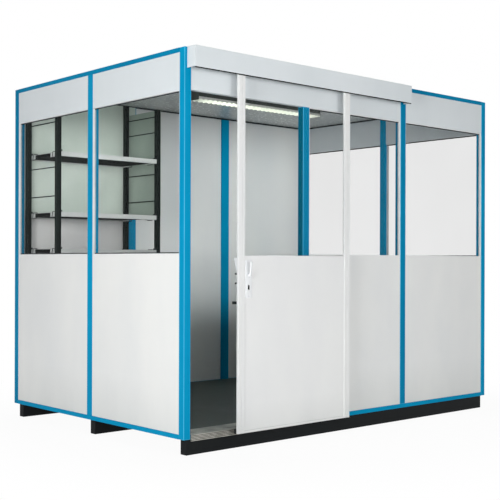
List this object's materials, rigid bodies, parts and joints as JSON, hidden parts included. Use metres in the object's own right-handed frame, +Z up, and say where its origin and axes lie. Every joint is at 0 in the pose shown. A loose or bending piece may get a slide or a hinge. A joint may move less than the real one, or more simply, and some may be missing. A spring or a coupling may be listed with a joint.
{
  "type": "portable site cabin",
  "caption": "Small transportable cabin with glazed walls in a blue profile frame, a sliding door hung outside, shelving inside and runners under the floor",
  "frame": {"origin": "on the ground under the middle of the whole cabin, door fittings included", "axes": "+X along the front wall to the right as seen from outside, the front wall and its sliding door face -Y, +Z up"},
  "size_m": [3.253, 2.2992, 2.599],
  "materials": {
    "frame_blue": "satin powder coat on aluminium profile",
    "panel_white": "satin coil-coated sheet on a sandwich panel",
    "ceiling_white": "semi-gloss coil-coated sheet",
    "door_white": "satin powder coat",
    "bead_white": "extruded glazing bead",
    "clear_glass": "clear float glass",
    "runner_black": "matt black paint",
    "floor_covering": "dark ribbed floor covering",
    "sill_aluminium": "ribbed mill-finish extrusion",
    "track_aluminium": "anodised extrusion",
    "hanger_steel": "zinc-plated steel",
    "handle_white": "moulded handle set",
    "fitting_black": "moulded black plastic",
    "light_grey_green": "stove-enamelled sheet",
    "louvre_white": "gloss white enamel",
    "shelving_dark": "dark green-black powder coat",
    "shelf_grey": "light grey powder coat",
    "sheet_grey_green": "grey-green enamelled sheet"
  },
  "bodies": {
    "cabin": {"runners": "runner_black", "floor_deck": "floor_covering", "bottom_rails": "frame_blue", "door_sill": "sill_aluminium", "front_corner_posts": "frame_blue", "back_corner_posts": "frame_blue", "front_posts": "frame_blue", "side_posts": "frame_blue", "back_posts": "frame_blue", "top_rails": "frame_blue", "roof_panel": "ceiling_white", "back_panels": "panel_white", "left_lower_panels": "panel_white", "right_lower_panels": "panel_white", "front_lower_panels": "panel_white", "left_headers": "panel_white", "right_headers": "panel_white", "front_headers": "panel_white", "left_window_frames": "bead_white", "right_window_frames": "bead_white", "front_window_frames": "bead_white", "left_glass": "clear_glass", "right_glass": "clear_glass", "front_glass": "clear_glass", "track_cover_front": "panel_white", "track_cover_top": "panel_white", "track_cover_ends": "panel_white", "door_track": "track_aluminium", "track_brackets": "track_aluminium", "light_housing": "light_grey_green", "light_louvre": "louvre_white", "shelving_uprights": "shelving_dark", "shelving_rungs": "shelving_dark", "shelves": "shelf_grey", "shelving_sheets": "sheet_grey_green"},
    "door": {"door_stiles": "door_white", "door_rails": "door_white", "door_panel": "door_white", "door_glass": "clear_glass", "door_hangers": "hanger_steel", "door_pull": "handle_white", "door_buffers": "fitting_black", "handle_plates": "handle_white", "lock_cylinder": "fitting_black"},
    "lever": {"lever": "handle_white"}
  },
  "joints": [
    {"name": "door_slide", "type": "slide", "parent": "cabin", "child": "door", "axis": [1, 0, 0], "range_m": [-0.367, 0.685]},
    {"name": "lever_turn", "type": "hinge", "parent": "door", "child": "lever", "pos_m": [-1.1405, -1.10635, 1.144], "axis": [0, 1, 0], "range_deg": [0, 90]}
  ]
}
